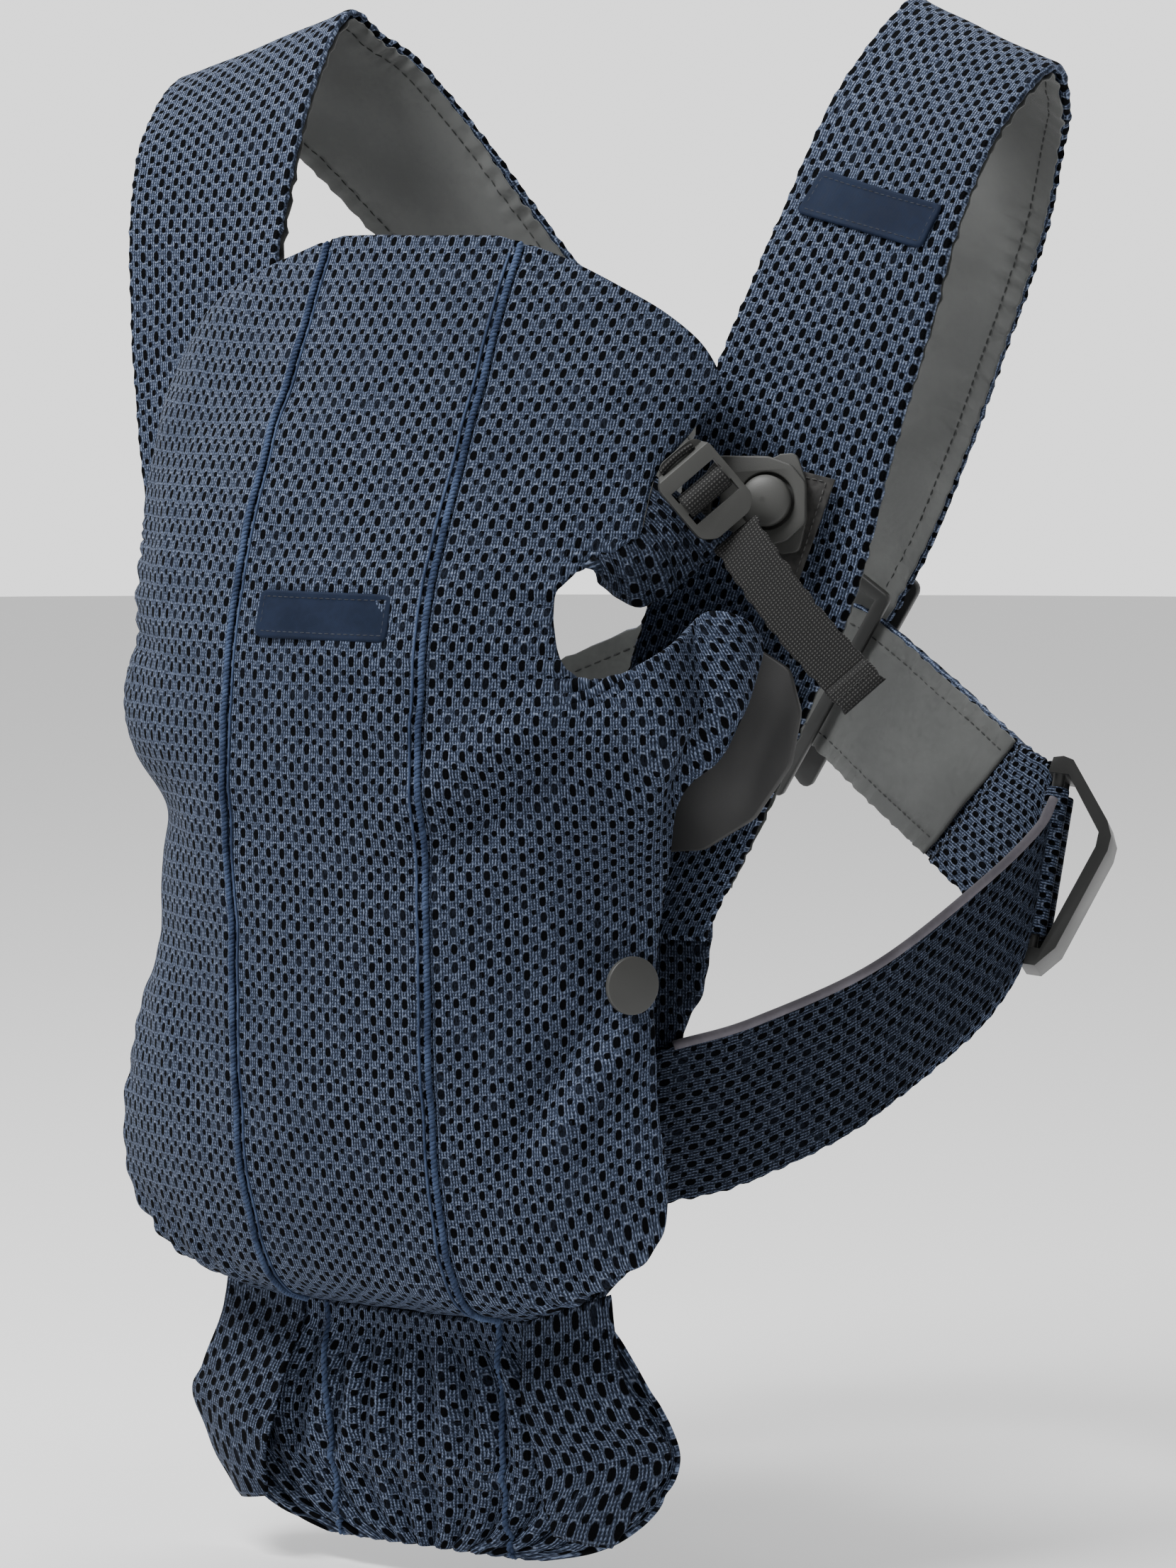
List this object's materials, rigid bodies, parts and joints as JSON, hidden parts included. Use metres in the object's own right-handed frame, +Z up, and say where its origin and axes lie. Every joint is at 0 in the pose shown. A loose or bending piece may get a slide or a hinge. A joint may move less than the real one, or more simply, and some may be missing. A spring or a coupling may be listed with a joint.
{
  "type": "soft baby carrier",
  "caption": "Soft baby carrier: padded mesh shoulder straps that cross at the back, a waist strap with side sliders, and a front pouch with a folding head support.",
  "frame": {"origin": "midway between the tops of the two shoulder straps, where they rest on the wearer's shoulders", "axes": "+X to the wearer's left, -Y to the front where the baby sits, +Z up"},
  "size_m": [0.4216, 0.3444, 0.6024],
  "materials": {
    "mesh_fabric": "navy three-dimensional polyester mesh, matt yarns",
    "piping_cord": "navy twisted cord",
    "label_cloth": "navy coated cloth, satin",
    "patch_cloth": "dark grey felt-like cloth",
    "guard_sheet": "dark grey, smooth and matt",
    "webbing": "black ribbed webbing",
    "grey_plastic": "dark grey, fine grained, satin",
    "spring_steel": "plain"
  },
  "bodies": {
    "harness": {"seat_skirt": "mesh_fabric", "skirt_piping": "piping_cord", "seat_seam": "mesh_fabric", "belly_panel": "mesh_fabric", "back_cross_plate": "grey_plastic", "back_cross_frame": "grey_plastic", "strap_label": "label_cloth", "shoulder_strap_left": "mesh_fabric", "shoulder_strap_right": "mesh_fabric", "waist_strap_left": "mesh_fabric", "waist_strap_right": "mesh_fabric", "strap_loop_left": "mesh_fabric", "strap_loop_right": "mesh_fabric", "side_guard_left": "guard_sheet", "side_guard_right": "guard_sheet", "buckle_patch_left": "patch_cloth", "buckle_patch_right": "patch_cloth", "buckle_base_left": "grey_plastic", "buckle_base_right": "grey_plastic", "button_spring_left": "spring_steel", "button_spring_right": "spring_steel"},
    "front_panel": {"front_panel": "mesh_fabric", "panel_piping": "piping_cord", "chest_label": "label_cloth", "snap_stud": "grey_plastic", "stud_washer": "grey_plastic", "webbing_link_left": "webbing", "webbing_link_right": "webbing"},
    "head_support": {"head_support": "mesh_fabric", "head_piping": "piping_cord"},
    "buckle_plate_left": {"buckle_plate_left": "grey_plastic"},
    "ladder_lock_left": {"ladder_lock_left": "grey_plastic", "webbing_tail_left": "webbing"},
    "push_button_left": {"push_button_left": "grey_plastic"},
    "side_slider_left": {"side_slider_left": "grey_plastic", "waist_loop_left": "mesh_fabric"},
    "buckle_plate_right": {"buckle_plate_right": "grey_plastic"},
    "ladder_lock_right": {"ladder_lock_right": "grey_plastic", "webbing_tail_right": "webbing"},
    "push_button_right": {"push_button_right": "grey_plastic"},
    "side_slider_right": {"side_slider_right": "grey_plastic", "waist_loop_right": "mesh_fabric"}
  },
  "joints": [
    {"name": "front_panel_open", "type": "hinge", "parent": "harness", "child": "front_panel", "pos_m": [0, -0.142, -0.497], "axis": [1, 0, 0], "range_deg": [0, 74]},
    {"name": "head_support_fold", "type": "hinge", "parent": "front_panel", "child": "head_support", "pos_m": [0, -0.1777, -0.15], "axis": [1, 0, 0], "range_deg": [0, 140]},
    {"name": "buckle_plate_left_swivel", "type": "hinge", "parent": "front_panel", "child": "buckle_plate_left", "pos_m": [0.14018, -0.11068, -0.17723], "axis": [0.306, -0.9418, 0.1392], "range_deg": [-8, 8]},
    {"name": "ladder_lock_left_tilt", "type": "hinge", "parent": "front_panel", "child": "ladder_lock_left", "pos_m": [0.12019, -0.14183, -0.16132], "axis": [-0.5318, -0.5542, -0.6403], "range_deg": [0, 15]},
    {"name": "push_button_left_press", "type": "slide", "parent": "harness", "child": "push_button_left", "axis": [-0.306, 0.9418, -0.1392], "range_m": [0, 0.002], "stiffness_N_per_m": 600},
    {"name": "side_slider_left_tilt", "type": "hinge", "parent": "harness", "child": "side_slider_left", "pos_m": [0.17234, 0.04384, -0.32747], "axis": [0, 0.3007, 0.9537], "range_deg": [-6, 10]},
    {"name": "buckle_plate_right_swivel", "type": "hinge", "parent": "front_panel", "child": "buckle_plate_right", "pos_m": [-0.14018, -0.11068, -0.17723], "axis": [0.306, 0.9418, -0.1392], "range_deg": [-8, 8]},
    {"name": "ladder_lock_right_tilt", "type": "hinge", "parent": "front_panel", "child": "ladder_lock_right", "pos_m": [-0.11019, -0.13583, -0.16132], "axis": [-0.5318, 0.5542, 0.6403], "range_deg": [0, 9]},
    {"name": "push_button_right_press", "type": "slide", "parent": "harness", "child": "push_button_right", "axis": [0.306, 0.9418, -0.1392], "range_m": [0, 0.002], "stiffness_N_per_m": 600},
    {"name": "side_slider_right_tilt", "type": "hinge", "parent": "harness", "child": "side_slider_right", "pos_m": [-0.17234, 0.04384, -0.32747], "axis": [0, -0.3007, -0.9537], "range_deg": [-6, 10]}
  ]
}
